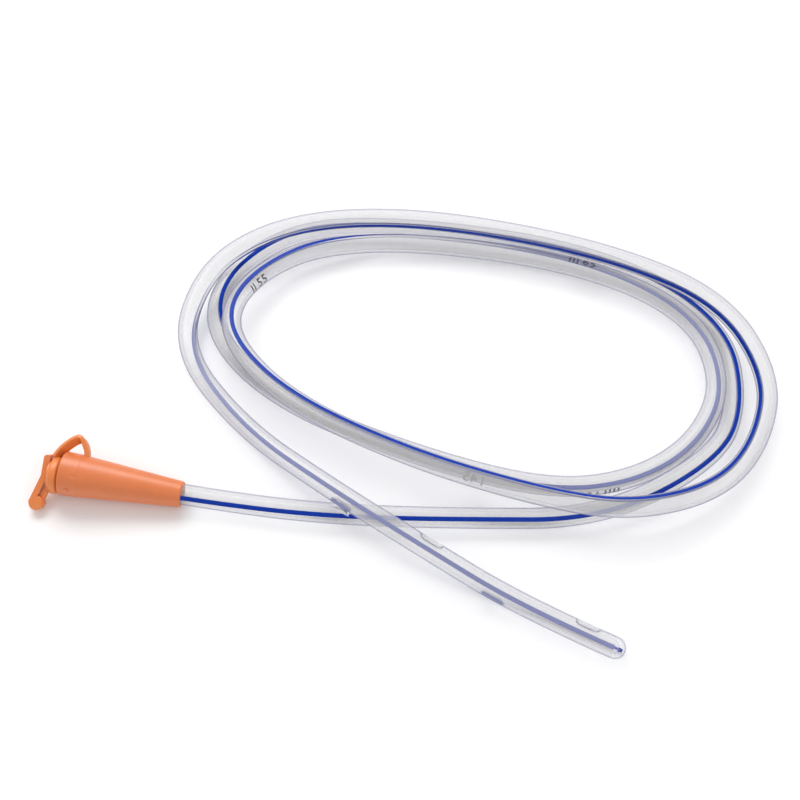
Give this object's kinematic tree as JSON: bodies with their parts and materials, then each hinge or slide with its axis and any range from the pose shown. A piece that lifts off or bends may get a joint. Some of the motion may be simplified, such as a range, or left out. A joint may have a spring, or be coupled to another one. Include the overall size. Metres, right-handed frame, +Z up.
{
  "type": "nasogastric tube",
  "caption": "Clear nasogastric stomach tube, loosely coiled, with a blue line in its wall, a closed tip with side eyes, and an orange funnel connector with a tethered stopper.",
  "frame": {"origin": "on the floor, under the middle of the moulded funnel with its strap and stopper", "axes": "+X along the floor from the funnel's mouth to its small end, +Z up"},
  "size_m": [0.188, 0.1229, 0.0117],
  "materials": {
    "clear_soft_plastic": "clear, slightly milky soft PVC with a blue line in the wall",
    "orange_soft_plastic": "soft orange PVC, satin, as moulded"
  },
  "bodies": {
    "connector": {"funnel_connector": "orange_soft_plastic", "tether_strap": "orange_soft_plastic", "clear_tube": "clear_soft_plastic"},
    "stopper": {"stopper_cap": "orange_soft_plastic"}
  },
  "joints": [
    {"name": "stopper_pull", "type": "slide", "parent": "connector", "child": "stopper", "axis": [-0.9965, 0, 0.0841], "range_m": [0, 0.0046], "deforming": ["tether_strap"]}
  ]
}
